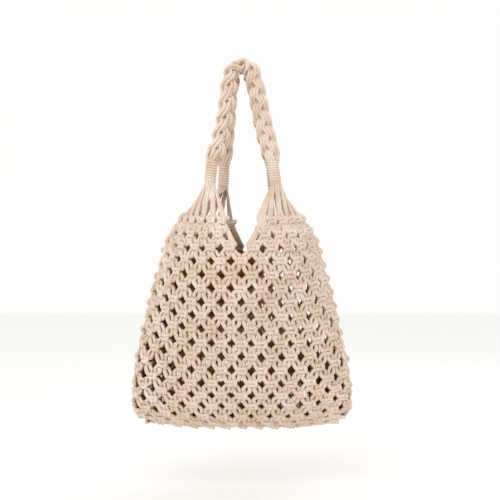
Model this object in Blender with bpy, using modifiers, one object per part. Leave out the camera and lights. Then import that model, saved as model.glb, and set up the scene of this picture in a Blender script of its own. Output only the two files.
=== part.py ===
"""Cotton net bag: knotted net body, four gathers bound with cord, two braided handles.

The bag hangs from the crown of its handles. The origin is the underside of that crown,
+Z up, the front of the bag towards -Y. Sizes are in metres.
"""
import math

import bmesh
import bpy
import numpy as np
from mathutils import Vector

# Clearance between pieces that touch.
GAP = 0.0003

# Net body.
NET_WIDTH = 0.318
NET_DEPTH = 0.212
NET_HEIGHT = 0.3083
NET_TOP = -0.2205
NET_WALL = 0.008
NET_CORD = 0.012
NET_SIDE_LIFT = 0.0135

# Gathers: where the cords of one corner of the net are bound together.
GATHER_SPREAD = 0.088
GATHER_DEPTH = 0.104
BINDING_TOP = -0.1355
BINDING_LENGTH = 0.034
BINDING_DIAMETER = 0.0176
BINDING_GROOVE = 0.0009
BINDING_TURNS = 9

# Fans of paired cords between each binding and the net.
FAN_TOP_DIAMETER = 0.0052
FAN_FOOT_DIAMETER = 0.0078
FAN_CORE_DIAMETER = 0.0114
FAN_FOOT_GAP = 0.0009
FAN_LEAD = 0.1
FAN_STATIONS = (0.35, 0.65)

# Braided handles.
CROWN_HEIGHT = 0.009
CROWN_DEPTH = 0.027
STRAND_DIAMETER = 0.0074
BRAID_WIDTH = 0.0250
BRAID_THICKNESS = 0.0184
BRAID_PERIODS = 4.0
BRAID_NECK = 0.010
BRAID_NECK_WIDTH = 0.0205
BRAID_TURN_LENGTH = 0.040
CROWN_SQUEEZE = 0.90
CROWN_SQUEEZE_LENGTH = 0.034

# How finely the pieces are divided.
NET_COLUMNS = 24
CORNERS = 4
GABLE_COLUMNS = NET_COLUMNS // CORNERS
NET_STEP = 2
PIERCED_LEVELS = 7
BINDING_SIDES = 12
FAN_CORDS = 6
STRANDS = 3
STRAND_POINTS_PER_PERIOD = 12
NECK_POINTS = 2
RIM_SAMPLES = 96

# One row for each knotted row that shapes the net: knot row, height below the net's top
# at the middle of the front (share of NET_HEIGHT), half width (share of NET_WIDTH), half
# depth (share of NET_DEPTH), rise at the sides (share of NET_SIDE_LIFT), and how far the
# columns of a corner spread before its gather draws them in (1 is not drawn in).
NET_SECTIONS = (
    ("row", "down", "wide", "deep", "rise", "spread"),
    (0.6, 0.000, 0.274, 0.384, 0.45, 0.78),
    (2.0, 0.089, 0.320, 0.448, 0.70, 0.92),
    (4.0, 0.206, 0.355, 0.495, 1.00, 1.00),
    (6.0, 0.332, 0.388, 0.453, 1.00, 1.00),
    (8.0, 0.460, 0.421, 0.387, 0.98, 1.00),
    (10.0, 0.591, 0.450, 0.325, 0.95, 1.00),
    (12.0, 0.718, 0.478, 0.274, 0.90, 1.00),
    (14.0, 0.838, 0.492, 0.236, 0.85, 1.00),
    (16.0, 0.941, 0.497, 0.160, 0.78, 1.00),
    (17.0, 0.981, 0.486, 0.090, 0.66, 1.00),
    (18.0, 1.000, 0.450, 0.020, 0.50, 1.00),
)
TOP_ROW = 0.6
GABLE_ROW = 2.2
MERGE_ROW = 4.0
LAST_PIERCED_ROW = 15.2
BASE_ROWS = (16.5, 17.6)

# One row for each gather: name, place of the binding's top and foot across the bag
# (shares of half GATHER_SPREAD), front or back, and its corner of the net.
GATHERS = (
    ("name", "top", "foot", "side", "corner"),
    ("front_right", 0.99, 1.12, -1, 0),
    ("back_right", 1.02, 1.09, 1, 1),
    ("back_left", -0.64, -0.67, 1, 2),
    ("front_left", -0.98, -1.05, -1, 3),
)

# The arch that each half of a handle follows: height below the crown (share of the drop
# to the binding), and distance from the middle (share of half GATHER_SPREAD).
HANDLE_ARCH = (
    ("down", "out"),
    (0.00, 0.00),
    (0.03, 0.25),
    (0.14, 0.39),
    (0.32, 0.53),
    (0.52, 0.65),
    (0.70, 0.78),
)

# Handles: name, the gathers at their ends, the quarter turns that the flat of the braid
# makes between the crown and each end, and how far its left limb is drawn inwards.
HANDLES = (
    ("name", "left", "right", "left_turn", "right_turn", "drawn"),
    ("front_handle", "front_left", "front_right", 0.62, -1.0, 0.0055),
    ("back_handle", "back_left", "back_right", -1.0, -1.0, 0.0),
)
LIMB_DRAWN_BY = 0.6

CORD_COLOUR = (0.80, 0.69, 0.56, 1.0)
CORD_ROUGHNESS = 0.92


def rows_of(table):
    """Rows of a table as dictionaries keyed by the names in its first row."""
    names = table[0]
    return [dict(zip(names, row)) for row in table[1:]]


def smoothstep(t):
    t = min(max(t, 0.0), 1.0)
    return t * t * (3.0 - 2.0 * t)


def spline_point(points, t):
    """Point at t, from 0 to 1, on a Catmull-Rom curve through the points."""
    span = min(int(t * (len(points) - 1)), len(points) - 2)
    f = t * (len(points) - 1) - span
    p1, p2 = points[span], points[span + 1]
    p0 = points[span - 1] if span > 0 else 2.0 * p1 - p2
    p3 = points[span + 2] if span + 2 < len(points) else 2.0 * p2 - p1
    bend = 2.0 * p0 - 5.0 * p1 + 4.0 * p2 - p3
    return 0.5 * (2.0 * p1 + (p2 - p0) * f + bend * f * f + (3.0 * (p1 - p2) + p3 - p0) * f ** 3)


def even_path(points, count):
    """Points at even distances along the smooth curve through the given points."""
    fine = [spline_point(points, i / 600.0) for i in range(601)]
    lengths = [0.0]
    for a, b in zip(fine, fine[1:]):
        lengths.append(lengths[-1] + (b - a).length)
    stations = np.linspace(0.0, lengths[-1], count)
    columns = [np.interp(stations, lengths, [p[axis] for p in fine]) for axis in range(3)]
    return [Vector(values) for values in zip(*columns)], lengths[-1]


SECTION_ROWS = rows_of(NET_SECTIONS)
GATHER_ROWS = {gather["name"]: gather for gather in rows_of(GATHERS)}


def section_value(name, row):
    """A column of NET_SECTIONS, read between its rows."""
    rows = [section["row"] for section in SECTION_ROWS]
    return float(np.interp(row, rows, [section[name] for section in SECTION_ROWS]))


def drawn_in(column, row, corner=None):
    """Column of the net after its gather has drawn the columns of a corner together."""
    if corner is None:
        corner = min(int(column // GABLE_COLUMNS), CORNERS - 1)
    middle = (corner + 0.5) * GABLE_COLUMNS
    return middle + (column - middle) * section_value("spread", row)


def ring_point(column, half_width, half_depth):
    """Point of an oval at an even share of its rim, column 0 at the middle of the front."""
    angles = np.linspace(0.0, math.tau, RIM_SAMPLES + 1)
    x = half_width * np.sin(angles)
    y = -half_depth * np.cos(angles)
    lengths = np.concatenate(([0.0], np.cumsum(np.hypot(np.diff(x), np.diff(y)))))
    station = (column % NET_COLUMNS) / NET_COLUMNS * lengths[-1]
    angle = float(np.interp(station, lengths, angles))
    return half_width * math.sin(angle), -half_depth * math.cos(angle)


def net_point(column, row, corner=None):
    """Point of the net's middle surface at a knot column and a knot row."""
    half_width = NET_WIDTH * section_value("wide", row)
    half_depth = NET_DEPTH * section_value("deep", row)
    drawn = drawn_in(column, row, corner)
    x, y = ring_point(drawn, half_width, half_depth)
    side = (0.5 - 0.5 * math.cos(math.tau * drawn / (NET_COLUMNS / 2))) ** 3
    z = NET_TOP - NET_HEIGHT * section_value("down", row)
    z += NET_SIDE_LIFT * section_value("rise", row) * side
    return Vector((x, y, z))


def binding_axis(gather):
    """Top and foot of a binding, as points on its axis."""
    half_spread = GATHER_SPREAD / 2.0
    y = gather["side"] * GATHER_DEPTH / 2.0
    lean = (gather["foot"] - gather["top"]) * half_spread
    drop = math.sqrt(BINDING_LENGTH ** 2 - lean ** 2)
    top = Vector((gather["top"] * half_spread, y, BINDING_TOP))
    return top, top + Vector((lean, 0.0, -drop))


def around(reach, bearing):
    """Level vector of a length and a compass bearing measured from +X."""
    return Vector((math.cos(bearing), math.sin(bearing), 0.0)) * reach


def clear_scene():
    for item in list(bpy.data.objects):
        bpy.data.objects.remove(item, do_unlink=True)


def new_collection(name):
    collection = bpy.data.collections.new(name)
    bpy.context.scene.collection.children.link(collection)
    return collection


def cotton_material(name):
    material = bpy.data.materials.new(name)
    material.use_nodes = True
    shader = material.node_tree.nodes["Principled BSDF"]
    shader.inputs["Base Color"].default_value = CORD_COLOUR
    shader.inputs["Roughness"].default_value = CORD_ROUGHNESS
    shader.inputs["Metallic"].default_value = 0.0
    return material


def add_mesh(name, mesh, collection):
    piece = bpy.data.objects.new(name, mesh)
    piece.data.materials.append(cotton_material(name + "_cotton"))
    collection.objects.link(piece)
    return piece


def add_cord(name, points, radii, collection):
    """A round cord through the points, as thick at each point as its radius there."""
    curve = bpy.data.curves.new(name, "CURVE")
    curve.dimensions = "3D"
    curve.bevel_depth = 1.0
    curve.bevel_resolution = 2
    curve.use_fill_caps = True
    spline = curve.splines.new("POLY")
    spline.points.add(len(points) - 1)
    for node, place, radius in zip(spline.points, points, radii):
        node.co = (*place, 1.0)
        node.radius = radius
    cord = bpy.data.objects.new(name, curve)
    curve.materials.append(cotton_material(name + "_cotton"))
    collection.objects.link(cord)
    return cord


def net_level_row(level):
    """Knot row of a level of crossings: two levels in the corners' gables, then the tube."""
    gable_rows = {-2: TOP_ROW, -1: GABLE_ROW}
    if level in gable_rows:
        return gable_rows[level]
    return MERGE_ROW + level * (LAST_PIERCED_ROW - MERGE_ROW) / PIERCED_LEVELS


def build_net_body(collection):
    """Net tube with a gable at each corner, cut through at every mesh, with a closed base."""
    cage = bmesh.new()
    crossings = {}

    def crossing(level, column, corner=None):
        """A crossing of the net; above the notches each corner keeps its own."""
        key = (level, column % NET_COLUMNS, corner)
        if key not in crossings:
            crossings[key] = cage.verts.new(net_point(column, net_level_row(level), corner))
        return crossings[key]

    meshes = []
    for corner in range(CORNERS):
        first = corner * GABLE_COLUMNS
        last = first + GABLE_COLUMNS
        for column in range(first + 1, last, NET_STEP):
            meshes.append((crossing(-2, column - 1, corner), crossing(-1, column),
                           crossing(-2, column + 1, corner)))
        for column in range(first + NET_STEP, last, NET_STEP):
            meshes.append((crossing(-2, column, corner), crossing(-1, column - 1),
                           crossing(0, column), crossing(-1, column + 1)))
        meshes.append((crossing(-2, first, corner), crossing(0, first), crossing(-1, first + 1)))
        meshes.append((crossing(-2, last, corner), crossing(-1, last - 1), crossing(0, last)))
    for level in range(PIERCED_LEVELS):
        for column in range(1 - level % 2, NET_COLUMNS, NET_STEP):
            meshes.append((crossing(level - 1, column), crossing(level, column - 1),
                           crossing(level + 1, column), crossing(level, column + 1)))
    open_faces = [cage.faces.new(corners) for corners in meshes]

    # The closed base: the last half meshes, two turned-in rings and a strip across.
    odd = PIERCED_LEVELS % 2
    columns = list(range(odd, NET_COLUMNS + odd, NET_STEP))
    for column in columns:
        cage.faces.new((crossing(PIERCED_LEVELS, column), crossing(PIERCED_LEVELS, column + NET_STEP),
                        crossing(PIERCED_LEVELS - 1, column + 1)))
    ring = [crossing(PIERCED_LEVELS, column) for column in columns]
    for row in BASE_ROWS:
        lower = [cage.verts.new(net_point(column, row)) for column in columns]
        for i in range(len(columns)):
            after = (i + 1) % len(columns)
            cage.faces.new((ring[after], ring[i], lower[i], lower[after]))
        ring = lower
    half = len(columns) // 2
    quarter = half // 2
    front = [ring[i % len(ring)] for i in range(-quarter, half - quarter)]
    back = [ring[i % len(ring)] for i in range(len(ring) - quarter - 1, half - quarter - 1, -1)]
    for i in range(half - 1):
        cage.faces.new((front[i], back[i], back[i + 1], front[i + 1]))

    bmesh.ops.recalc_face_normals(cage, faces=cage.faces)
    bmesh.ops.inset_individual(cage, faces=open_faces, thickness=NET_CORD / 2.0, use_even_offset=True)
    bmesh.ops.delete(cage, geom=open_faces, context="FACES")

    mesh = bpy.data.meshes.new("net_body")
    cage.to_mesh(mesh)
    cage.free()
    body = add_mesh("net_body", mesh, collection)
    wall = body.modifiers.new("cord_thickness", "SOLIDIFY")
    wall.thickness = NET_WALL
    wall.offset = 0.0
    wall.use_even_offset = True
    return body


def build_binding(gather, collection):
    """Cord wound round a gather: a turned barrel with a groove between its turns."""
    top, foot = binding_axis(gather)
    radius = BINDING_DIAMETER / 2.0
    pitch = BINDING_LENGTH / BINDING_TURNS
    profile = [Vector((0.0, 0.0, 0.0)), Vector((radius - BINDING_GROOVE, 0.0, 0.0))]
    for turn in range(BINDING_TURNS):
        profile.append(Vector((radius, 0.0, -(turn + 0.5) * pitch)))
        profile.append(Vector((radius - BINDING_GROOVE, 0.0, -(turn + 1.0) * pitch)))
    profile.append(Vector((0.0, 0.0, -BINDING_LENGTH)))

    outline = bmesh.new()
    corners = [outline.verts.new(place) for place in profile]
    for a, b in zip(corners, corners[1:]):
        outline.edges.new((a, b))
    name = gather["name"] + "_binding"
    mesh = bpy.data.meshes.new(name)
    outline.to_mesh(mesh)
    outline.free()

    binding = add_mesh(name, mesh, collection)
    turn = binding.modifiers.new("turned", "SCREW")
    turn.axis = "Z"
    turn.steps = BINDING_SIDES
    turn.render_steps = BINDING_SIDES
    turn.use_merge_vertices = True
    turn.merge_threshold = 0.00005
    turn.use_smooth_shade = True
    binding.location = top
    binding.rotation_mode = "QUATERNION"
    binding.rotation_quaternion = Vector((0.0, 0.0, -1.0)).rotation_difference(foot - top)
    return binding


def build_fan(gather, collection):
    """Paired cords that spread from a binding's foot to the top edge of the net."""
    top, foot = binding_axis(gather)
    along = (foot - top).normalized()
    first = gather["corner"] * GABLE_COLUMNS
    start = foot + along * GAP
    feet, rises = [], []
    for i in range(FAN_CORDS):
        column = first + (i + 0.5) * GABLE_COLUMNS / FAN_CORDS
        left = NET_STEP * int(column // NET_STEP)
        ends = [net_point(c, TOP_ROW, gather["corner"]) for c in (left, left + NET_STEP)]
        feet.append(ends[0].lerp(ends[1], (column - left) / NET_STEP))
        below = net_point(left + NET_STEP / 2, GABLE_ROW)
        rises.append((ends[0].lerp(ends[1], 0.5) - below).normalized())
    middle = sum(feet, Vector()) / len(feet) - start
    outward = math.atan2(middle.y, middle.x)
    core = FAN_CORE_DIAMETER / 2.0
    reaches = [(place - start).to_2d() for place in feet]
    bearings = [(math.atan2(reach.y, reach.x) - outward + math.pi) % math.tau - math.pi
                for reach in reaches]
    facing = (bearings[0] + bearings[-1]) / 2.0
    for i, (place, rise) in enumerate(zip(feet, rises)):
        gathered = facing + (i + 0.5 - FAN_CORDS / 2.0) * math.tau / FAN_CORDS
        head = start + around(core, outward + gathered)
        head -= along * (head - start).dot(along)
        seat = place + rise * FAN_FOOT_GAP
        points = [head, head + along * (head.z - seat.z) * FAN_LEAD]
        for share in FAN_STATIONS:
            bearing = gathered + (bearings[i] - gathered) * share
            reach = core + (reaches[i].length - core) * share
            height = (seat.z - start.z) * share
            points.append(start + around(reach, outward + bearing) + Vector((0.0, 0.0, height)))
        points += [seat + rise * (head.z - seat.z) * FAN_LEAD, seat]
        widening = [0.0, FAN_LEAD, *FAN_STATIONS, 1.0 - FAN_LEAD, 1.0]
        radii = [(FAN_TOP_DIAMETER + (FAN_FOOT_DIAMETER - FAN_TOP_DIAMETER) * share) / 2.0
                 for share in widening]
        add_cord(f"{gather['name']}_fan_cords_{i + 1}", points, radii, collection)


def handle_centreline(handle):
    """Points of a handle's middle line, from its left binding over the crown to its right."""
    half_spread = GATHER_SPREAD / 2.0
    crown = Vector((0.0, 0.0, CROWN_HEIGHT))
    limbs = {}
    for end, sign in (("left", -1.0), ("right", 1.0)):
        gather = GATHER_ROWS[handle[end]]
        top, foot = binding_axis(gather)
        up = (top - foot).normalized()
        drop = crown.z - top.z
        own = abs(gather["top"]) - 1.0
        points = []
        for station in rows_of(HANDLE_ARCH):
            down = station["down"]
            out = (station["out"] + own * down ** 1.5) * half_spread
            if end == "left":
                out -= handle["drawn"] * smoothstep(down / LIMB_DRAWN_BY)
            depth = CROWN_DEPTH / 2.0 + (GATHER_DEPTH - CROWN_DEPTH) / 2.0 * down ** 1.2
            points.append(Vector((sign * out, gather["side"] * depth, crown.z - drop * down)))
        points += [top + up * (GAP + BRAID_NECK * share) for share in (1.0, 0.6, 0.3, 0.0)]
        limbs[end] = points
    return list(reversed(limbs["left"])) + limbs["right"][1:]


def build_handle(handle, collection):
    """Three strands plaited flat, lying flat over the crown and turned on the way down."""
    braided = int(round(BRAID_PERIODS * STRAND_POINTS_PER_PERIOD))
    centreline = handle_centreline(handle)
    fine, length = even_path(centreline, 601)
    spacing = length / 600.0
    neck = BRAID_NECK / length
    stations = [neck * i / NECK_POINTS for i in range(NECK_POINTS)]
    stations += [neck + (1.0 - 2.0 * neck) * i / braided for i in range(braided + 1)]
    stations += [1.0 - neck * (NECK_POINTS - 1 - i) / NECK_POINTS for i in range(NECK_POINTS)]
    swing = (BRAID_WIDTH - STRAND_DIAMETER) / 2.0
    neck_swing = (BRAID_NECK_WIDTH - STRAND_DIAMETER) / 2.0
    depth = (BRAID_THICKNESS - STRAND_DIAMETER) / 2.0
    for strand in range(STRANDS):
        points, radii = [], []
        for station in stations:
            at = min(max(int(round(station * 600)), 1), 599)
            tangent = (fine[at + 1] - fine[at - 1]).normalized()
            place = fine[at] + tangent * (station * 600 - at) * spacing
            flat = Vector((0.0, 1.0, 0.0))
            across = (flat - tangent * flat.dot(tangent)).normalized()
            outward = across.cross(tangent)
            side = "left" if station < 0.5 else "right"
            away = abs(station - 0.5) * length / BRAID_TURN_LENGTH
            turn = handle[side + "_turn"] * smoothstep(away) * math.pi / 2.0
            wide = across * math.cos(turn) + outward * math.sin(turn)
            thick = tangent.cross(wide)
            share = min(max((station - neck) / (1.0 - 2.0 * neck), 0.0), 1.0)
            phase = math.pi / 2.0 + math.tau * (BRAID_PERIODS * share + strand / STRANDS)
            above_seat = min(station, 1.0 - station) / neck - 1.0 / NECK_POINTS
            opened = smoothstep(above_seat / (1.0 - 1.0 / NECK_POINTS))
            width = neck_swing + (swing - neck_swing) * opened
            points.append(place + wide * width * math.sin(phase) + thick * depth * math.sin(2.0 * phase))
            squeeze = 1.0 - smoothstep(abs(station - 0.5) * length / CROWN_SQUEEZE_LENGTH)
            radii.append(STRAND_DIAMETER / 2.0 * (1.0 - (1.0 - CROWN_SQUEEZE) * squeeze))
        add_cord(f"{handle['name']}_strand_{strand + 1}", points, radii, collection)


def main():
    clear_scene()
    bag = new_collection("cotton_net_bag")
    build_net_body(bag)
    for gather in GATHER_ROWS.values():
        build_binding(gather, bag)
        build_fan(gather, bag)
    for handle in rows_of(HANDLES):
        build_handle(handle, bag)


main()
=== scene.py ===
"""Cotton net bag: every cord of its square-knotted net, bound gathers and braided handles.

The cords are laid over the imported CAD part, in its frame: the origin is the underside of
the handles' crown, +Z up, the front towards -Y. Sizes are in metres.
"""

import math
import random

import bmesh
import bpy
import numpy as np
from bpy.props import FloatProperty, FloatVectorProperty, IntProperty, PointerProperty
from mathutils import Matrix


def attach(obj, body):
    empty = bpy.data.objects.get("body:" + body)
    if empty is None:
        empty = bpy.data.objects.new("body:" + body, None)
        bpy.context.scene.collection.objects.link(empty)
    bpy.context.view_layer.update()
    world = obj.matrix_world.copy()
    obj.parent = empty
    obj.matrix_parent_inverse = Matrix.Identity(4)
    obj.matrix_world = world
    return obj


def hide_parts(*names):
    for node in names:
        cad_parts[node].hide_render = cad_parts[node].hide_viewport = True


bl_info = {
    "name": "Cotton net bag",
    "version": (1, 0, 0),
    "blender": (4, 5, 0),
    "location": "3D View > Sidebar > Net Bag",
    "description": "Builds a knotted cotton net bag with bound gathers and braided handles",
    "category": "Add Mesh",
}

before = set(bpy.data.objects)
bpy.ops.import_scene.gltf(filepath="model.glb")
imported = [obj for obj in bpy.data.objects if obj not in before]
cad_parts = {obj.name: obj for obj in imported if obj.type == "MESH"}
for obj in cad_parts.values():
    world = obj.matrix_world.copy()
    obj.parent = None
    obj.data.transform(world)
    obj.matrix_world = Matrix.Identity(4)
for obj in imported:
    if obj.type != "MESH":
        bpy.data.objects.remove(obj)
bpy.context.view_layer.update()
MM = 0.001
WELD = 1e-7

# Knot columns round the net, those of one corner, and the number of knotted rows.
NET_COLUMNS = 24
CORNERS = 4
CORNER_COLUMNS = NET_COLUMNS // CORNERS
LAST_ROW = 18
MERGE_ROW = 3

# One row for each knotted row: height of its knots at the middle of the front, half width
# and half depth of the net (metres), rise at the sides (share of the side lift), and how
# far the columns of a corner spread before its gather draws them in.
NET_ROWS = (
    ("row", "height", "wide", "deep", "rise", "spread"),
    (1, -0.2282, 0.0910, 0.0850, 0.53, 0.72),
    (2, -0.2478, 0.1020, 0.0950, 0.70, 0.86),
    (3, -0.2663, 0.1080, 0.1010, 0.86, 0.95),
    (4, -0.2840, 0.1130, 0.1050, 1.00, 1.00),
    (5, -0.3030, 0.1180, 0.1020, 1.00, 1.00),
    (6, -0.3228, 0.1235, 0.0960, 1.00, 1.00),
    (7, -0.3429, 0.1295, 0.0890, 0.99, 1.00),
    (8, -0.3624, 0.1340, 0.0820, 0.98, 1.00),
    (9, -0.3820, 0.1390, 0.0760, 0.97, 1.00),
    (10, -0.4026, 0.1430, 0.0690, 0.95, 1.00),
    (11, -0.4220, 0.1475, 0.0635, 0.93, 1.00),
    (12, -0.4419, 0.1520, 0.0580, 0.90, 1.00),
    (13, -0.4617, 0.1550, 0.0540, 0.87, 1.00),
    (14, -0.4790, 0.1565, 0.0500, 0.85, 1.00),
    (15, -0.4949, 0.1580, 0.0440, 0.82, 1.00),
    (16, -0.5106, 0.1570, 0.0340, 0.78, 1.00),
    (17, -0.5210, 0.1520, 0.0210, 0.66, 1.00),
    (18, -0.5270, 0.1410, 0.0085, 0.50, 1.00),
)
# How far the rows rise at the bag's sides, how sharply, and the points of their oval.
SIDE_LIFT = 0.0135
SIDE_SHARPNESS = 3
RING_POINTS = 193

# Places in the net where no knot is tied: row and column. The four free cords there stand
# these distances (millimetres) from their middle, which is shifted, and run straight down.
UNTIED = {(1, 0.5)}
UNTIED_SHIFT = 0.0035
UNTIED_SPACING = 0.85
UNTIED_INNER = 2.2
UNTIED_OUTER = 6.6
UNTIED_TOP = 0.004
UNTIED_FOOT = -0.006

# Where a notch leaves out a knot, the cords drop this many points of the paths above and
# below it, and run straight between in so many spans.
LOOSE_POINTS = 2
LOOSE_SPANS = 5

# Paths of a square knot's cords, in millimetres across, up and out of the net, and the
# cord's thickness there as a share of its own.
FILLER_PATH = (
    ("across", "up", "out", "thick"),
    (3.0, 8.8, 0.4, 1.12),
    (2.6, 5.6, 0.2, 1.05),
    (2.4, 0.0, -0.8, 0.90),
    (2.8, -5.8, 0.4, 1.06),
    (3.1, -8.4, 0.8, 1.18),
)
RIGHT_WORKER_PATH = (
    ("across", "up", "out", "thick"),
    (11.5, 9.2, 0.6, 1.18),
    (10.2, 6.4, 0.6, 1.16),
    (8.0, 3.9, 0.2, 1.08),
    (5.0, 2.8, 1.8, 1.00),
    (1.5, 2.7, 3.8, 1.00),
    (-2.0, 2.6, 4.2, 1.00),
    (-4.8, 2.3, 2.4, 0.98),
    (-6.2, 1.2, -0.6, 0.95),
    (-6.2, -1.2, -0.6, 0.95),
    (-4.8, -2.4, 2.4, 0.98),
    (-2.0, -2.8, 4.2, 1.00),
    (1.5, -2.8, 3.9, 1.00),
    (5.0, -3.1, 1.8, 1.00),
    (7.6, -4.5, 0.2, 0.98),
    (10.4, -7.2, 0.4, 0.96),
    (12.0, -9.8, 0.5, 0.98),
)
LEFT_WORKER_PATH = (
    ("across", "up", "out", "thick"),
    (-11.6, 9.2, 1.0, 1.20),
    (-10.3, 6.3, 1.6, 1.22),
    (-8.4, 3.4, 2.6, 1.16),
    (-6.8, 1.1, 3.4, 1.05),
    (-4.9, 0.9, 1.0, 0.95),
    (-3.2, 1.8, -2.6, 0.92),
    (0.0, 2.4, -4.6, 0.92),
    (3.2, 2.8, -3.4, 0.92),
    (5.0, 3.6, 0.0, 1.00),
    (5.5, 2.8, 4.4, 1.06),
    (5.6, 0.0, 5.9, 1.12),
    (5.5, -2.8, 4.4, 1.06),
    (5.0, -3.6, 0.0, 1.00),
    (3.2, -2.8, -3.4, 0.92),
    (0.0, -2.4, -4.6, 0.92),
    (-3.2, -1.8, -2.6, 0.92),
    (-4.9, -1.6, 1.0, 0.95),
    (-6.4, -2.8, 2.4, 0.98),
    (-8.0, -4.6, 1.0, 0.98),
    (-10.4, -7.2, 0.4, 0.96),
    (-12.0, -9.8, 0.5, 0.98),
)
# A worker of the top row starts as half of a cord laid behind the fillers.
FOLD_PATH = (
    ("across", "up", "out", "thick"),
    (0.0, 5.0, -4.0, 1.00),
    (6.5, 5.4, -2.4, 1.00),
)
# The net's spacing that these paths are drawn for, and how a knot follows the real one.
KNOT_ACROSS = 0.0285
KNOT_UP = 0.0198
KNOT_NARROWING = 0.6
KNOT_LARGEST = 1.05
# A knot takes its directions from the net at this share of a column or row round it.
KNOT_REACH = 0.3

# How unevenly the knots are tied: turn (radians), shift (metres) and size (share).
KNOT_TURN = 0.07
KNOT_SHIFT = 0.0007
KNOT_SIZE = 0.04
# The rows run slightly downhill across the bag, most at the middle row of these.
ROW_SLOPE = 0.020
SLOPE_FIRST_ROW = 2.0
SLOPE_ROWS = 15.0
# The back's columns drift sideways, by a share of a column, and further in the low rows.
BACK_DRIFT = 0.35
LOW_BACK_DRIFT = 0.65
LOW_DRIFT_ROW = 10.0
LOW_DRIFT_ROWS = 3.0
# The back's cords are fuller by this share, wholly so from this depth behind the middle.
REAR_FULLNESS = 0.10
REAR_DEPTH = 0.030

# Gathers: name, place of the binding's top and foot across the bag (shares of half the
# spread), front or back, corner of the net, and slant of the binding's first turns.
GATHERS = (
    ("name", "top", "foot", "side", "corner", "slant"),
    ("front_right", 0.99, 1.12, -1, 0, 0.10),
    ("back_right", 1.02, 1.09, 1, 1, 0.05),
    ("back_left", -0.64, -0.67, 1, 2, 0.08),
    ("front_left", -0.98, -1.05, -1, 3, 0.22),
)
GATHER_SPREAD = 0.088
GATHER_DEPTH = 0.104
BINDING_TOP = -0.1355
BINDING_LENGTH = 0.034
BINDING_DIAMETER = 0.0176
BINDING_TURNS = 9
# The wound cord: its radius as a share of the pitch, the points of a turn, how its slant
# fades and wavers, how unevenly it lies, and how far its ends are tucked in.
WRAP_FULLNESS = 0.53
TURN_POINTS = 22
SLANT_FADE = 4.0
WRAP_WAVER = 0.02
WRAP_WAVES = 7.0
WRAP_UNEVENNESS = 0.012
WRAP_TUCK = 0.002

# Fans: pairs of cords, the ring that they leave the binding on, how far they start inside
# it, half the width of a pair (millimetres), their seat over the knot, their swelling, and
# the places of their points between binding and seat.
FAN_CORDS = 6
FAN_CORE_DIAMETER = 0.0128
FAN_HEAD_DEPTH = 0.006
FAN_PAIR = 2.4
FAN_AIM = 0.006
FAN_SEAT = 0.0065
FAN_SWELLING = 1.35
FAN_SHARES = (0.3, 0.6, 0.85)
FAN_STEP = 0.0022

# The arch that each half of a handle follows: height below the crown (share of the drop
# to the binding), and distance from the middle (share of half the spread).
HANDLE_ARCH = (
    ("down", "out"),
    (0.00, 0.00),
    (0.03, 0.25),
    (0.14, 0.39),
    (0.32, 0.53),
    (0.52, 0.65),
    (0.70, 0.78),
)
# Handles: the gathers that a handle joins, how far the braid of each limb turns its face
# (shares of a quarter turn), and how far the left limb is drawn in (metres).
HANDLES = (
    ("name", "left", "right", "left_turn", "right_turn", "drawn"),
    ("front_handle", "front_left", "front_right", 0.62, -1.0, 0.0055),
    ("back_handle", "back_left", "back_right", -1.0, -1.0, 0.0),
)
# The left limb is drawn in over this share of its drop, and by this share of the whole
# where its neck starts. Limbs draw apart sideways, and to the front and back, by powers
# of the drop.
LIMB_DRAWN_BY = 0.6
LIMB_LEAN = 0.9
LIMB_SPREADING = 1.5
LIMB_DEEPENING = 1.2
# The crown: height of the handles' middle lines there, and the distance between them.
CROWN_HEIGHT = 0.009
CROWN_DEPTH = 0.027
STRANDS = 3
# Places of a strand's cords round its middle, in millimetres: sideways and to the front.
STRAND_CORDS = (
    ("sideways", "front"),
    (-4.2, 0.0),
    (0.0, 0.7),
    (4.2, 0.0),
    (0.0, -2.6),
)
# The braid's size, its full turns of the strands, the neck over a binding with the
# places of its points (shares of it, the last inside the binding), and the length over
# which the braid turns its face from the crown on.
BRAID_WIDTH = 0.0265
BRAID_THICKNESS = 0.0195
BRAID_PERIODS = 4.0
BRAID_NECK = 0.010
BRAID_NECK_WIDTH = 0.0190
NECK_SHARES = (1.0, 0.6, 0.3, 0.0, -0.35)
BRAID_TURN_LENGTH = 0.040
# The strands are drawn together to this share inside the binding, over this length.
BRAID_BOUND = 0.55
BRAID_BOUND_LENGTH = 0.0055
# Steps along a handle's middle line and its cords, and how far off a direction is read.
CENTRELINE_STEP = 0.0005
STATION_STEP = 0.0024
TANGENT_REACH = 0.001

# Painted shade: a cord's colour darkens towards the inner shade from this height over the net's
# middle surface, over this depth, so the cords' inward sides inside the bag look shaded.
# It starts at this top height and is whole a fade lower. Across the bag counts less
# than to the front and back.
PAINTED_SHADE_LEVEL = 0.0011
PAINTED_SHADE_DEPTH = 0.0030
PAINTED_SHADE_ACROSS = 0.4
PAINTED_SHADE_TOP = -0.235
PAINTED_SHADE_FADE = 0.035

# Lights: name, place, width of the softbox, and share of the key light's power.
LIGHTS = (
    ("name", "place", "size", "share"),
    ("key", (-0.7, -1.6, 1.1), 1.6, 1.0),
    ("rim", (1.3, 1.2, 1.0), 1.0, 0.4),
)
SKY_COLOUR = (1.0, 0.99, 0.975, 1.0)
FLOOR_HALF_WIDTH = 6.0
FLOOR_GRAIN = 3.0
FLOOR_TINT = 0.1
FLOOR_ROUGHNESS = 0.95

# Cotton: plies of the twisted cord, the scales of its mottling and fibres, and how much
# each of them lightens the colour from the shade, from this much below it. The plies'
# share is shade painted between the plies; the mottling and fibres are the cotton's own
# uneven tone.
PLIES = 3.0
MOTTLE_SCALE = 38.0
FIBRE_SCALE = 900.0
PLY_PAINTED_SHADE = 0.25
MOTTLE_TINT = 0.85
FIBRE_TINT = 0.45
TINT_DROP = 0.12
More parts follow.
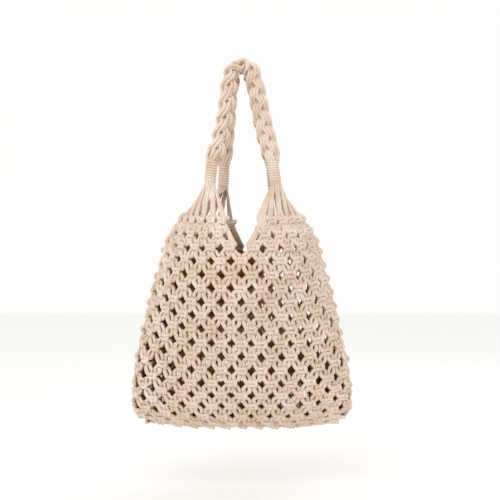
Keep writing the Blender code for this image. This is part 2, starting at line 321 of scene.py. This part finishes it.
# Its relief and its dull surface, which the fibres make slightly smoother.
BUMP_STRENGTH = 0.30
BUMP_DISTANCE = 0.0005
PLY_BUMP = 0.5
FIBRE_BUMP = 0.6
ROUGHNESS = 0.93
FIBRE_SMOOTHING = 0.08
SPECULAR = 0.03
# Bevel resolution of the cords of fans, bindings and handles.
FINE_SIDES = 2

# Camera: its place, the point it looks at, and how much of that plane the picture spans.
CAMERA_PLACE = (0.012, -1.75, -0.290)
CAMERA_TARGET = (0.012, 0.0, -0.26775)
PICTURE_SPAN = 0.750
SENSOR_WIDTH = 36.0


def rows_of(table):
    """Rows of a table as dictionaries keyed by the names in its first row."""
    names = table[0]
    return [dict(zip(names, row)) for row in table[1:]]


def column_of(table, name):
    """One column of a table as an array."""
    return np.array([row[name] for row in rows_of(table)], dtype=float)


def path_of(table):
    """A knot's path as an array: across, up and out in metres, and the thickness."""
    return np.array([list(row.values()) for row in rows_of(table)]) * (MM, MM, MM, 1.0)


def unit(vector):
    return vector / np.linalg.norm(vector)


def smoothstep(t):
    t = min(max(t, 0.0), 1.0)
    return t * t * (3.0 - 2.0 * t)


def smooth_path(points, step):
    """Points about a step apart on a smooth curve through the given points."""
    points = np.asarray(points, dtype=float)
    chords = np.linalg.norm(np.diff(points[:, :3], axis=0), axis=1)
    slopes = np.diff(points, axis=0) / chords[:, None]
    tangents = np.empty_like(points)
    tangents[0], tangents[-1] = slopes[0], slopes[-1]
    before, after = chords[:-1, None], chords[1:, None]
    tangents[1:-1] = (slopes[:-1] * after + slopes[1:] * before) / (before + after)
    smooth = []
    for i, chord in enumerate(chords):
        count = max(1, int(math.ceil(chord / step)))
        t = (np.arange(count) / count)[:, None]
        smooth.append((2 * t ** 3 - 3 * t ** 2 + 1) * points[i]
                      + (t ** 3 - 2 * t ** 2 + t) * chord * tangents[i]
                      + (3 * t ** 2 - 2 * t ** 3) * points[i + 1]
                      + (t ** 3 - t ** 2) * chord * tangents[i + 1])
    smooth.append(points[-1:])
    return np.concatenate(smooth)


def value_at(values, index):
    """A list read at a broken index, on a Catmull-Rom curve through its values."""
    span = min(max(int(math.floor(index)), 0), len(values) - 2)
    f = index - span
    p1, p2 = values[span], values[span + 1]
    p0 = values[span - 1] if span > 0 else 2.0 * p1 - p2
    p3 = values[span + 2] if span + 2 < len(values) else 2.0 * p2 - p1
    bend = 2.0 * p0 - 5.0 * p1 + 4.0 * p2 - p3
    twist = 3.0 * (p1 - p2) + p3 - p0
    return 0.5 * (2.0 * p1 + (p2 - p0) * f + bend * f * f + twist * f ** 3)


NET_VALUES = {name: column_of(NET_ROWS, name) for name in NET_ROWS[0]}
GATHER_ROWS = {gather["name"]: gather for gather in rows_of(GATHERS)}


def corner_of(column):
    return int((column % NET_COLUMNS) // CORNER_COLUMNS)


def ring_point(column, half_width, half_depth):
    """Point of an oval at an even share of its rim, column 0 at the middle of the front."""
    angles = np.linspace(0.0, math.tau, RING_POINTS)
    x = half_width * np.sin(angles)
    y = -half_depth * np.cos(angles)
    lengths = np.concatenate(([0.0], np.cumsum(np.hypot(np.diff(x), np.diff(y)))))
    angle = np.interp((column % NET_COLUMNS) / NET_COLUMNS * lengths[-1], lengths, angles)
    return half_width * math.sin(angle), -half_depth * math.cos(angle)


def net_point(column, row, corner):
    """Point of the net's middle surface at a knot column and a knot row."""
    values = {name: value_at(NET_VALUES[name], row - 1.0) for name in NET_VALUES}
    middle = (corner + 0.5) * CORNER_COLUMNS
    drawn = middle + (column - middle) * min(values["spread"], 1.0)
    side = (0.5 - 0.5 * math.cos(math.tau * drawn / (NET_COLUMNS / 2))) ** SIDE_SHARPNESS
    rear = 0.5 - 0.5 * math.cos(math.tau * drawn / NET_COLUMNS)
    low = smoothstep((row - LOW_DRIFT_ROW) / LOW_DRIFT_ROWS)
    drawn -= rear ** 2 * (BACK_DRIFT + LOW_BACK_DRIFT * low)
    x, y = ring_point(drawn, values["wide"], values["deep"])
    sloped = min(max(row - SLOPE_FIRST_ROW, 0.0) / SLOPE_ROWS, 1.0)
    slope = ROW_SLOPE * math.sin(math.pi * sloped)
    return np.array((x, y, values["height"] + SIDE_LIFT * values["rise"] * side - slope * x))


class KnotPlace:
    """Where a knot is tied: its centre and its directions across, up and out of the net."""

    def __init__(self, column, row):
        corner = corner_of(column)
        near = max(row - KNOT_REACH, 1.0), min(row + KNOT_REACH, float(LAST_ROW))
        left, right = (net_point(column + turn, row, corner)
                       for turn in (-KNOT_REACH, KNOT_REACH))
        above, below = (net_point(column, edge, corner) for edge in near)
        self.centre = net_point(column, row, corner)
        self.across = unit(right - left)
        up = above - below
        self.up = unit(up - self.across * up.dot(self.across))
        self.out = np.cross(self.across, self.up)
        pitch = np.linalg.norm(right - left) / (2.0 * KNOT_REACH)
        row_pitch = np.linalg.norm(above - below) / (near[1] - near[0])
        draw = random.Random(int(column * 2) + 1000 * row)
        turn = draw.uniform(-KNOT_TURN, KNOT_TURN)
        across, up = self.across, self.up
        self.across = across * math.cos(turn) + up * math.sin(turn)
        self.up = up * math.cos(turn) - across * math.sin(turn)
        self.centre = (self.centre + across * draw.uniform(-KNOT_SHIFT, KNOT_SHIFT)
                       + up * draw.uniform(-KNOT_SHIFT, KNOT_SHIFT))
        size = 1.0 + draw.uniform(-KNOT_SIZE, KNOT_SIZE)
        self.width = min((pitch / KNOT_ACROSS) ** KNOT_NARROWING, KNOT_LARGEST) * size
        self.height = min(row_pitch / KNOT_UP, KNOT_LARGEST)

    def lay(self, path, mirror=1.0):
        """A knot's path in the bag's axes, with its height over the net and its thickness."""
        x, y, z = path[:, 0] * self.width * mirror, path[:, 1] * self.height, path[:, 2]
        laid = (self.centre + x[:, None] * self.across + y[:, None] * self.up
                + z[:, None] * self.out)
        return np.column_stack((laid, z, path[:, 3]))


def is_tied(row, column):
    """Whether a knot is tied there; over the merging row, none closes a notch."""
    if (row, column % NET_COLUMNS) in UNTIED:
        return False
    return not (row < MERGE_ROW and row % 2 == 0 and column % CORNER_COLUMNS == 0)


def net_cord(half_column, side):
    """Control points of one cord of the net, from the top row to the bottom seam.

    A cord is a filler in every other row, in the knots of its own column, and ties the
    knots beside that column in the rows between.
    """
    own = half_column / 2.0
    loose = 0
    route = []
    for row in range(1, LAST_ROW + 1):
        as_filler = row % 2 == half_column % 2
        column = own if as_filler else own + 0.5 * side
        if not is_tied(row, column):
            if row == 1:
                offset = UNTIED_INNER if as_filler else -UNTIED_OUTER
                across = UNTIED_SHIFT + offset * UNTIED_SPACING * side * MM
                free = np.array([[across, UNTIED_TOP, 0.0, 1.0], [across, UNTIED_FOOT, 0.0, 1.0]])
                route.append(KnotPlace(column, row).lay(free))
            else:
                if len(route[-1]) > LOOSE_POINTS:
                    route[-1] = route[-1][:-LOOSE_POINTS]
                loose = LOOSE_POINTS
            continue
        place = KnotPlace(column % NET_COLUMNS, row)
        if as_filler:
            path = path_of(FILLER_PATH)
            path = place.lay(path[1 if row == 1 or loose else 0:], side)
        else:
            path = path_of(LEFT_WORKER_PATH if side > 0 else RIGHT_WORKER_PATH)
            if row == 1:
                fold = path_of(FOLD_PATH) * (-side, 1.0, 1.0, 1.0)
                path = np.concatenate((fold, path[1:]))
            path = place.lay(path[loose:])
        if loose:
            shares = np.linspace(0.0, 1.0, LOOSE_SPANS + 1)[1:-1, None]
            route.append(route[-1][-1] * (1.0 - shares) + path[0] * shares)
        route.append(path)
        loose = 0
    return np.concatenate(route)


def binding_axis(gather):
    """Top and foot of a binding, as points on its axis."""
    half_spread = GATHER_SPREAD / 2.0
    lean = (gather["foot"] - gather["top"]) * half_spread
    depth = gather["side"] * GATHER_DEPTH / 2.0
    top = np.array((gather["top"] * half_spread, depth, BINDING_TOP))
    return top, top + np.array((lean, 0.0, -math.sqrt(BINDING_LENGTH ** 2 - lean ** 2)))


def around(reach, bearing):
    """Level vector of a length and a bearing measured from +X."""
    return np.array((math.cos(bearing), math.sin(bearing), 0.0)) * reach


def handle_centreline(handle):
    """Points of a handle's middle line, from its left binding over the crown to its right."""
    half_spread = GATHER_SPREAD / 2.0
    limbs = {}
    for end, sign in (("left", -1.0), ("right", 1.0)):
        gather = GATHER_ROWS[handle[end]]
        top, foot = binding_axis(gather)
        up = unit(top - foot)
        drop = CROWN_HEIGHT - top[2]
        own = abs(gather["top"]) - 1.0
        points = []
        for station in rows_of(HANDLE_ARCH):
            down = station["down"]
            out = (station["out"] + own * down ** LIMB_SPREADING) * half_spread
            if end == "left":
                out -= handle["drawn"] * smoothstep(down / LIMB_DRAWN_BY)
            deeper = (GATHER_DEPTH - CROWN_DEPTH) / 2.0 * down ** LIMB_DEEPENING
            depth = CROWN_DEPTH / 2.0 + deeper
            height = CROWN_HEIGHT - drop * down
            points.append(np.array((sign * out, gather["side"] * depth, height)))
        inward = np.array((handle["drawn"] if end == "left" else 0.0, 0.0, 0.0))
        points += [top + up * BRAID_NECK * share + inward * LIMB_LEAN * max(share, 0.0)
                   for share in NECK_SHARES]
        limbs[end] = points
    return np.array(list(reversed(limbs["left"])) + limbs["right"][1:])


def link(obj):
    bpy.context.scene.collection.objects.link(obj)
    return obj


def painted_shade_of(rings, points, rises):
    """How much painted shade each vertex of a cord takes: 0 on the net's face, 1 on its inward
    side inside the bag.
    """
    outward = points[:, :2] * np.array((PAINTED_SHADE_ACROSS, 1.0))
    outward /= np.linalg.norm(outward, axis=1)[:, None]
    facing = np.einsum("ijk,ik->ij", (rings - points[:, None])[:, :, :2], outward)
    levels = rises[:, None] + facing
    inside = np.clip((PAINTED_SHADE_TOP - points[:, 2]) / PAINTED_SHADE_FADE, 0.0, 1.0)
    return inside[:, None] * np.clip((PAINTED_SHADE_LEVEL - levels) / PAINTED_SHADE_DEPTH, 0.0, 1.0)


def cord_piece(name, cords, sides_resolution, material):
    """One mesh piece of many cords; each cord is (points, radii), its UV in metres along it.

    A fourth value of a point is its height over the net's middle surface, a fifth its
    thickness.
    """
    temporary = []
    for places, radii in cords:
        points = places[:, :3]
        curve = bpy.data.curves.new(name, "CURVE")
        curve.dimensions = "3D"
        curve.twist_mode = "MINIMUM"
        curve.bevel_depth = 1.0
        curve.bevel_resolution = sides_resolution
        curve.use_fill_caps = True
        spline = curve.splines.new("POLY")
        spline.points.add(len(points) - 1)
        flat = np.concatenate((points, np.ones((len(points), 1))), axis=1)
        spline.points.foreach_set("co", flat.ravel())
        spline.points.foreach_set("radius", np.broadcast_to(radii, len(points)).astype(float))
        temporary.append(link(bpy.data.objects.new(name + "_cord", curve)))
    depsgraph = bpy.context.evaluated_depsgraph_get()
    joined = bmesh.new()
    for holder, (places, radii) in zip(temporary, cords):
        points = places[:, :3]
        tube = bpy.data.meshes.new_from_object(holder.evaluated_get(depsgraph))
        sides = 4 + 2 * sides_resolution
        rings = np.empty(len(tube.vertices) * 3)
        tube.vertices.foreach_get("co", rings)
        rings = rings.reshape(-1, 3)[:len(points) * sides].reshape(len(points), sides, 3)
        # Painted shade: a mask that darkens the cords' inward sides inside the bag, stored on the
        # vertices.
        painted_shade = np.zeros(len(tube.vertices))
        if places.shape[1] > 3:
            painted_shade[:len(points) * sides] = painted_shade_of(rings, points, places[:, 3]).ravel()
        tube.attributes.new("painted_shade", "FLOAT", "POINT").data.foreach_set("value", painted_shade)
        length = float(np.linalg.norm(np.diff(points, axis=0), axis=1).sum())
        uv = np.empty(len(tube.loops) * 2)
        tube.uv_layers[0].data.foreach_get("uv", uv)
        uv[0::2] *= length
        tube.uv_layers[0].data.foreach_set("uv", uv)
        joined.from_mesh(tube)
        bpy.data.meshes.remove(tube)
    bmesh.ops.remove_doubles(joined, verts=joined.verts, dist=WELD)
    mesh = bpy.data.meshes.new(name)
    joined.to_mesh(mesh)
    joined.free()
    for holder in temporary:
        curve = holder.data
        bpy.data.objects.remove(holder, do_unlink=True)
        bpy.data.curves.remove(curve)
    mesh.shade_smooth()
    mesh.materials.append(material)
    return link(bpy.data.objects.new(name, mesh))


def dress(piece, *nodes):
    """The piece rides on the bag and stands for these solids."""
    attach(piece, "root")
    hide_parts(*nodes)


class Socket:
    """A node's output as a number in an expression; each operation adds a Math node."""

    def __init__(self, shader, output):
        self.shader = shader
        self.output = output

    def _math(self, operation, first, second=None):
        values = {0: first} if second is None else {0: first, 1: second}
        return self.shader.node("ShaderNodeMath", {"operation": operation}, values)

    def __add__(self, other):
        return self._math("ADD", self, other)

    def __radd__(self, other):
        return self._math("ADD", other, self)

    def __sub__(self, other):
        return self._math("SUBTRACT", self, other)

    def __rsub__(self, other):
        return self._math("SUBTRACT", other, self)

    def __mul__(self, other):
        return self._math("MULTIPLY", self, other)

    def __rmul__(self, other):
        return self._math("MULTIPLY", other, self)

    def sin(self):
        return self._math("SINE", self)

    def absolute(self):
        return self._math("ABSOLUTE", self)


class Shader:
    """A material's node tree, built through one method."""

    def __init__(self, name):
        self.material = bpy.data.materials.new(name)
        self.material.use_nodes = True
        self.tree = self.material.node_tree
        self.surface = self.tree.nodes["Principled BSDF"]

    def node(self, kind, settings=None, values=None, output=0):
        """A node of a type, with its settings first and then its sockets' values or links."""
        made = self.tree.nodes.new(kind)
        for name, value in (settings or {}).items():
            setattr(made, name, value)
        self.feed(made, values or {})
        return Socket(self, made.outputs[output])

    def feed(self, node, values):
        """Sets a node's sockets to values, or links them to the sockets given."""
        for name, value in values.items():
            if isinstance(value, Socket):
                self.tree.links.new(value.output, node.inputs[name])
            else:
                node.inputs[name].default_value = value


def cotton_material(name, colour, shade, inner, lay):
    """Soft cotton cord: twisted plies, loose fibres, uneven natural colour, shade painted between
    the plies and shade painted on the cords inside the bag.
    """
    shader = Shader(name)
    uv = shader.node("ShaderNodeUVMap", {"uv_map": "UVMap"})
    split = shader.node("ShaderNodeSeparateXYZ", None, {0: uv})
    along = Socket(shader, split.output.node.outputs[0])
    turn = Socket(shader, split.output.node.outputs[1])
    place = shader.node("ShaderNodeTexCoord", output=3)

    phase = turn * (PLIES * math.pi) - along * (PLIES * math.pi / lay)
    ply = phase.sin().absolute()
    mottle = shader.node("ShaderNodeTexNoise", None,
                         {"Vector": place, "Scale": MOTTLE_SCALE, "Detail": 3.0})
    fibre = shader.node("ShaderNodeTexNoise", None,
                        {"Vector": place, "Scale": FIBRE_SCALE, "Detail": 2.0})

    # Mixes the shade colour with the light colour: the plies' share paints shade between the
    # plies, and the mottling and fibres give the cotton's uneven tone.
    tone_and_painted_shade = ply * PLY_PAINTED_SHADE + mottle * MOTTLE_TINT + fibre * FIBRE_TINT - TINT_DROP
    mixed = shader.node("ShaderNodeMix", {"data_type": "RGBA"},
                        {0: tone_and_painted_shade, 6: (*shade, 1.0), 7: (*colour, 1.0)}, output=2)
    # Painted shade: the cords' inward sides inside the bag are mixed towards the inner shade
    # colour.
    painted_shade = shader.node("ShaderNodeAttribute", {"attribute_name": "painted_shade"}, output=2)
    mixed = shader.node("ShaderNodeMix", {"data_type": "RGBA"},
                        {0: painted_shade, 6: mixed, 7: (*inner, 1.0)}, output=2)
    relief = ply * PLY_BUMP + fibre * FIBRE_BUMP
    bump = shader.node("ShaderNodeBump", None, {"Strength": BUMP_STRENGTH,
                                                "Distance": BUMP_DISTANCE, "Height": relief})
    shader.feed(shader.surface, {
        "Base Color": mixed,
        "Roughness": ROUGHNESS - FIBRE_SMOOTHING * fibre,
        "Normal": bump,
        "Metallic": 0.0,
        "Specular IOR Level": SPECULAR,
    })
    return shader.material


class CordSettings(bpy.types.PropertyGroup):
    """Sizes and colours of the cord that the bag is knotted from."""

    diameter: FloatProperty(name="Cord diameter", description="Thickness of the net's cord",
                            default=0.0058, min=0.003, max=0.007, subtype="DISTANCE",
                            unit="LENGTH", precision=4)
    step: FloatProperty(name="Step", description="Distance between the points of a cord",
                        default=0.0019, min=0.001, max=0.006, subtype="DISTANCE",
                        unit="LENGTH", precision=4)
    sides: IntProperty(name="Side resolution", description="Bevel resolution of a cord",
                       default=1, min=0, max=4)
    lay: FloatProperty(name="Lay", description="Length of one full twist of the plies",
                       default=0.011, min=0.004, max=0.04, subtype="DISTANCE",
                       unit="LENGTH", precision=4)
    colour: FloatVectorProperty(name="Colour", description="Light cotton at the top of a ply",
                                default=(0.85, 0.748, 0.660), min=0.0, max=1.0, subtype="COLOR")
    # The shade colour is partly shade painted between the plies and partly the cotton's darker
    # mottling.
    shade: FloatVectorProperty(name="Shade", description="Darker cotton between the plies",
                               default=(0.50, 0.290, 0.130), min=0.0, max=1.0, subtype="COLOR")
    # Painted shade: the colour that the cords' inward sides inside the bag are darkened to.
    inner: FloatVectorProperty(name="Inner shade", description="Cotton inside the bag",
                               default=(0.26, 0.105, 0.024), min=0.0, max=1.0, subtype="COLOR")


class GatherSettings(bpy.types.PropertyGroup):
    """Sizes of the cords in the gathers and their bindings."""

    neck: FloatProperty(name="Cord at the binding", description="Cord diameter under a binding",
                        default=0.0029, min=0.002, max=0.006, subtype="DISTANCE",
                        unit="LENGTH", precision=4)
    foot: FloatProperty(name="Cord at the net", description="Cord diameter at the net's top row",
                        default=0.0052, min=0.003, max=0.007, subtype="DISTANCE",
                        unit="LENGTH", precision=4)
    swing: FloatProperty(name="Lead", description="Share of the fan that runs on straight",
                         default=0.03, min=0.0, max=0.4, subtype="FACTOR")


class HandleSettings(bpy.types.PropertyGroup):
    """Sizes of the braided handles."""

    cord: FloatProperty(name="Cord diameter", description="Thickness of a handle's cords",
                        default=0.0050, min=0.003, max=0.007, subtype="DISTANCE",
                        unit="LENGTH", precision=4)


class StageSettings(bpy.types.PropertyGroup):
    """Floor and light."""

    floor_height: FloatProperty(name="Floor height", description="Height of the floor",
                                default=-0.62, subtype="DISTANCE", unit="LENGTH")
    floor_colour: FloatVectorProperty(name="Floor colour", description="Colour of the floor",
                                      default=(0.95, 0.945, 0.935), min=0.0, max=1.0,
                                      subtype="COLOR")
    key_power: FloatProperty(name="Key light", description="Power of the main light, in watts",
                             default=11.5, min=0.0)
    fill_strength: FloatProperty(name="Fill", description="Strength of the light all round",
                                 default=0.99, min=0.0)


def bag_material():
    """The cotton shared by every piece."""
    cord = bpy.context.scene.net_bag_cord
    name = "twisted_cotton"
    if name in bpy.data.materials:
        return bpy.data.materials[name]
    return cotton_material(name, tuple(cord.colour), tuple(cord.shade), tuple(cord.inner),
                           cord.lay)


class NETBAG_OT_net(bpy.types.Operator):
    """Lays the cords of the knotted net, one piece for each corner"""

    bl_idname = "net_bag.net"
    bl_label = "Net"

    def execute(self, context):
        cord = context.scene.net_bag_cord
        radius = cord.diameter / 2.0
        for gather in GATHER_ROWS.values():
            first = gather["corner"] * CORNER_COLUMNS * 2
            cords = []
            for half_column in range(first, first + CORNER_COLUMNS * 2):
                for side in (-1, 1):
                    path = smooth_path(net_cord(half_column, side), cord.step)
                    rear = np.clip(path[:, 1] / REAR_DEPTH, 0.0, 1.0)
                    cords.append((path, radius * path[:, 4] * (1.0 + REAR_FULLNESS * rear)))
            piece = cord_piece(gather["name"] + "_net_cords", cords, cord.sides, bag_material())
            dress(piece, "net_body")
        return {"FINISHED"}


class NETBAG_OT_fans(bpy.types.Operator):
    """Spreads paired cords from each binding to the knots of the top row"""

    bl_idname = "net_bag.fans"
    bl_label = "Fans"

    def execute(self, context):
        sizes = context.scene.net_bag_gather
        for gather in GATHER_ROWS.values():
            cords = fan_cords(gather, sizes)
            piece = cord_piece(gather["name"] + "_fan", cords, FINE_SIDES, bag_material())
            dress(piece, *(f"{gather['name']}_fan_cords_{i + 1}" for i in range(FAN_CORDS)))
        return {"FINISHED"}


def fan_cords(gather, sizes):
    """Cords of one fan as (points, radii), each from inside the binding into its knot."""
    top, foot = binding_axis(gather)
    along = unit(foot - top)
    first = gather["corner"] * CORNER_COLUMNS
    places = [KnotPlace(first + i + 0.5, 1) for i in range(FAN_CORDS)]
    feet = [place.centre + place.up * FAN_AIM for place in places]
    middle = sum(feet) / len(feet) - foot
    outward = math.atan2(middle[1], middle[0])
    outer = [math.atan2(*(end - foot)[1::-1]) - outward for end in (feet[0], feet[-1])]
    facing = sum((bearing + math.pi) % math.tau - math.pi for bearing in outer) / 2.0
    core = FAN_CORE_DIAMETER / 2.0
    cords = []
    for i, place in enumerate(places):
        tied = is_tied(1, first + i + 0.5)
        offsets = (-FAN_PAIR, FAN_PAIR)
        if not tied:
            free = (-UNTIED_OUTER, -UNTIED_INNER, UNTIED_INNER, UNTIED_OUTER)
            offsets = [offset * UNTIED_SPACING + UNTIED_SHIFT / MM for offset in free]
        for k, offset in enumerate(offsets):
            pair = (k + 0.5) / len(offsets) - 0.5
            gathered = facing + (i + 0.5 + pair - FAN_CORDS / 2.0) * math.tau / FAN_CORDS
            beside = place.across * offset * MM * place.width
            seat = place.centre + beside + place.up * FAN_SEAT
            inside = seat - place.up * FAN_SEAT
            head = foot + around(core, outward + gathered)
            head -= along * (head - foot).dot(along)
            drop = foot[2] - seat[2]
            lead = head + along * drop * sizes.swing
            points = [head - along * FAN_HEAD_DEPTH, head, lead]
            points += [lead + (seat - lead) * share for share in FAN_SHARES]
            points += [seat, inside]
            path = smooth_path(points, FAN_STEP)
            shares = np.minimum(np.linspace(0.0, 1.0, len(path)) * FAN_SWELLING, 1.0)
            radii = (sizes.neck + (sizes.foot - sizes.neck) * shares) / 2.0
            cords.append((path, radii))
    return cords


class NETBAG_OT_bindings(bpy.types.Operator):
    """Winds a cord round each gather"""

    bl_idname = "net_bag.bindings"
    bl_label = "Bindings"

    def execute(self, context):
        for gather in GATHER_ROWS.values():
            cords = [wrap_cord(gather)]
            piece = cord_piece(gather["name"] + "_wrap", cords, FINE_SIDES, bag_material())
            dress(piece, gather["name"] + "_binding")
        return {"FINISHED"}


def wrap_cord(gather):
    """The wound cord of a binding as (points, radius)."""
    top, foot = binding_axis(gather)
    along = unit(foot - top)
    across = unit(np.cross(along, (0.0, 1.0, 0.0)))
    outward = np.cross(across, along)
    pitch = BINDING_LENGTH / BINDING_TURNS
    radius = pitch * WRAP_FULLNESS
    reach = BINDING_DIAMETER / 2.0 - radius
    draw = random.Random(gather["corner"])
    tilt = gather["slant"]
    points = []
    turns = BINDING_TURNS - 1.0
    count = int(turns * TURN_POINTS)
    for i in range(count + 1):
        share = i / count
        angle = math.tau * turns * share
        lean = (tilt * (1.0 - smoothstep(share * SLANT_FADE))
                + WRAP_WAVER * math.sin(WRAP_WAVES * share))
        down = radius + (BINDING_LENGTH - 2.0 * radius) * share
        wide = reach * (1.0 + draw.uniform(-WRAP_UNEVENNESS, WRAP_UNEVENNESS))
        points.append(top + along * (down + wide * lean * math.cos(angle))
                      + (across * math.cos(angle) + outward * math.sin(angle)) * wide)
    first = top + along * (radius + WRAP_TUCK)
    last = foot - along * (radius + WRAP_TUCK)
    return np.array([first, *points, last]), radius


class NETBAG_OT_handles(bpy.types.Operator):
    """Braids the two handles, four cords to a strand"""

    bl_idname = "net_bag.handles"
    bl_label = "Handles"

    def execute(self, context):
        sizes = context.scene.net_bag_handle
        for handle in rows_of(HANDLES):
            for strand, cords in enumerate(handle_cords(handle, sizes)):
                name = f"{handle['name']}_strand_{strand + 1}"
                piece = cord_piece(name + "_cords", cords, FINE_SIDES, bag_material())
                dress(piece, name)
        return {"FINISHED"}


def handle_cords(handle, sizes):
    """For each strand of a handle, its cords as (points, radius)."""
    line = smooth_path(handle_centreline(handle), CENTRELINE_STEP)
    lengths = np.concatenate(([0.0], np.cumsum(np.linalg.norm(np.diff(line, axis=0), axis=1))))
    length = lengths[-1]
    neck = BRAID_NECK / length
    offsets = [np.array(list(row.values())) * MM for row in rows_of(STRAND_CORDS)]
    strand_width, strand_depth = (2.0 * np.max(offsets, axis=0) + sizes.cord)
    swing = (BRAID_WIDTH - strand_width) / 2.0
    neck_swing = (BRAID_NECK_WIDTH - strand_width) / 2.0
    depth = (BRAID_THICKNESS - strand_depth) / 2.0

    def at(distance):
        return np.array([np.interp(distance, lengths, line[:, axis]) for axis in range(3)])

    stations = np.linspace(0.0, 1.0, int(length / STATION_STEP))
    strands = []
    for strand in range(STRANDS):
        cords = [[] for _ in offsets]
        middles, frames = [], []
        for station in stations:
            here = station * length
            ahead, behind = min(here + TANGENT_REACH, length), max(here - TANGENT_REACH, 0.0)
            tangent = unit(at(ahead) - at(behind))
            deep = np.array((0.0, 1.0, 0.0))
            across = unit(deep - tangent * deep.dot(tangent))
            outward = np.cross(across, tangent)
            side = "left" if station < 0.5 else "right"
            away = abs(station - 0.5) * length / BRAID_TURN_LENGTH
            turn = handle[side + "_turn"] * smoothstep(away) * math.pi / 2.0
            wide = across * math.cos(turn) + outward * math.sin(turn)
            thick = np.cross(tangent, wide)
            share = min(max((station - neck) / (1.0 - 2.0 * neck), 0.0), 1.0)
            phase = math.pi / 2.0 + math.tau * (BRAID_PERIODS * share + strand / STRANDS)
            opened = smoothstep(min(station, 1.0 - station) / neck)
            width = neck_swing + (swing - neck_swing) * opened
            end = min(station, 1.0 - station) * length
            bound = BRAID_BOUND + (1.0 - BRAID_BOUND) * smoothstep(end / BRAID_BOUND_LENGTH)
            middles.append(at(here) + (wide * width * math.sin(phase)
                                       + thick * depth * math.sin(2.0 * phase)) * bound)
            frames.append((wide, bound))
        middles = np.array(middles)
        for i, (wide, bound) in enumerate(frames):
            before, after = middles[max(i - 1, 0)], middles[min(i + 1, len(middles) - 1)]
            tangent = unit(after - before)
            side = unit(wide - tangent * wide.dot(tangent))
            front = np.cross(tangent, side)
            for cord, (sideways, forward) in zip(cords, offsets):
                cord.append(middles[i] + (side * sideways + front * forward) * bound)
        strands.append([(np.array(points), sizes.cord / 2.0) for points in cords])
    return strands


class NETBAG_OT_stage(bpy.types.Operator):
    """Sets the floor, the soft light and the camera"""

    bl_idname = "net_bag.stage"
    bl_label = "Stage"

    def execute(self, context):
        stage = context.scene.net_bag_stage
        add_floor(stage.floor_height, tuple(stage.floor_colour))
        for lamp in rows_of(LIGHTS):
            add_light(lamp["name"], lamp["place"], lamp["size"], stage.key_power * lamp["share"])
        world = bpy.data.worlds.new("studio")
        world.use_nodes = True
        background = world.node_tree.nodes["Background"]
        background.inputs["Color"].default_value = SKY_COLOUR
        background.inputs["Strength"].default_value = stage.fill_strength
        context.scene.world = world
        context.scene.view_settings.view_transform = "Standard"
        add_camera()
        return {"FINISHED"}


def add_floor(height, colour):
    """A wide pale floor under the bag."""
    plan = bmesh.new()
    bmesh.ops.create_grid(plan, x_segments=1, y_segments=1, size=FLOOR_HALF_WIDTH)
    bmesh.ops.translate(plan, verts=plan.verts, vec=(0.0, 0.0, height))
    mesh = bpy.data.meshes.new("floor")
    plan.to_mesh(mesh)
    plan.free()
    shader = Shader("floor_paper")
    grain = shader.node("ShaderNodeTexNoise", None,
                        {"Vector": shader.node("ShaderNodeTexCoord", output=3),
                         "Scale": FLOOR_GRAIN})
    shader.feed(shader.surface, {
        "Base Color": shader.node("ShaderNodeMix", {"data_type": "RGBA"},
                                  {0: grain * FLOOR_TINT, 6: (*colour, 1.0),
                                   7: (1.0, 1.0, 1.0, 1.0)}, output=2),
        "Roughness": FLOOR_ROUGHNESS,
    })
    mesh.materials.append(shader.material)
    link(bpy.data.objects.new("floor", mesh))


def add_light(name, place, size, power):
    """A square softbox that faces the bag."""
    lamp = bpy.data.lights.new(name, "AREA")
    lamp.energy = power
    lamp.size = size
    light = link(bpy.data.objects.new(name, lamp))
    light.location = place
    aim(light, CAMERA_TARGET)


def aim(obj, target):
    """Turns a camera or a light to look at a point."""
    place = obj.location.copy()
    direction = place.__class__(target) - place
    obj.rotation_euler = direction.to_track_quat("-Z", "Y").to_euler()


def add_camera():
    """The camera at the photograph's viewing angle."""
    lens = bpy.data.cameras.new("camera")
    lens.sensor_width = SENSOR_WIDTH
    lens.lens = SENSOR_WIDTH * -CAMERA_PLACE[1] / PICTURE_SPAN
    camera = link(bpy.data.objects.new("camera", lens))
    camera.location = CAMERA_PLACE
    aim(camera, CAMERA_TARGET)
    bpy.context.scene.camera = camera


OPERATORS = (NETBAG_OT_net, NETBAG_OT_fans, NETBAG_OT_bindings, NETBAG_OT_handles, NETBAG_OT_stage)
SETTINGS = {
    "net_bag_cord": CordSettings,
    "net_bag_gather": GatherSettings,
    "net_bag_handle": HandleSettings,
    "net_bag_stage": StageSettings,
}


class NETBAG_PT_panel(bpy.types.Panel):
    """The bag's pieces and their sizes"""

    bl_idname = "NETBAG_PT_panel"
    bl_label = "Cotton net bag"
    bl_space_type = "VIEW_3D"
    bl_region_type = "UI"
    bl_category = "Net Bag"

    def draw(self, context):
        for name, group in SETTINGS.items():
            box = self.layout.box()
            for prop in group.__annotations__:
                box.prop(getattr(context.scene, name), prop)
        for operator in OPERATORS:
            self.layout.operator(operator.bl_idname)


CLASSES = (*SETTINGS.values(), *OPERATORS, NETBAG_PT_panel)


def register():
    for cls in CLASSES:
        bpy.utils.register_class(cls)
    for name, group in SETTINGS.items():
        setattr(bpy.types.Scene, name, PointerProperty(type=group))


def unregister():
    for name in SETTINGS:
        delattr(bpy.types.Scene, name)
    for cls in reversed(CLASSES):
        bpy.utils.unregister_class(cls)


def main():
    """Builds every piece in order."""
    register()
    bpy.ops.net_bag.net()
    bpy.ops.net_bag.fans()
    bpy.ops.net_bag.bindings()
    bpy.ops.net_bag.handles()
    bpy.ops.net_bag.stage()


if __name__ == "__main__":
    main()
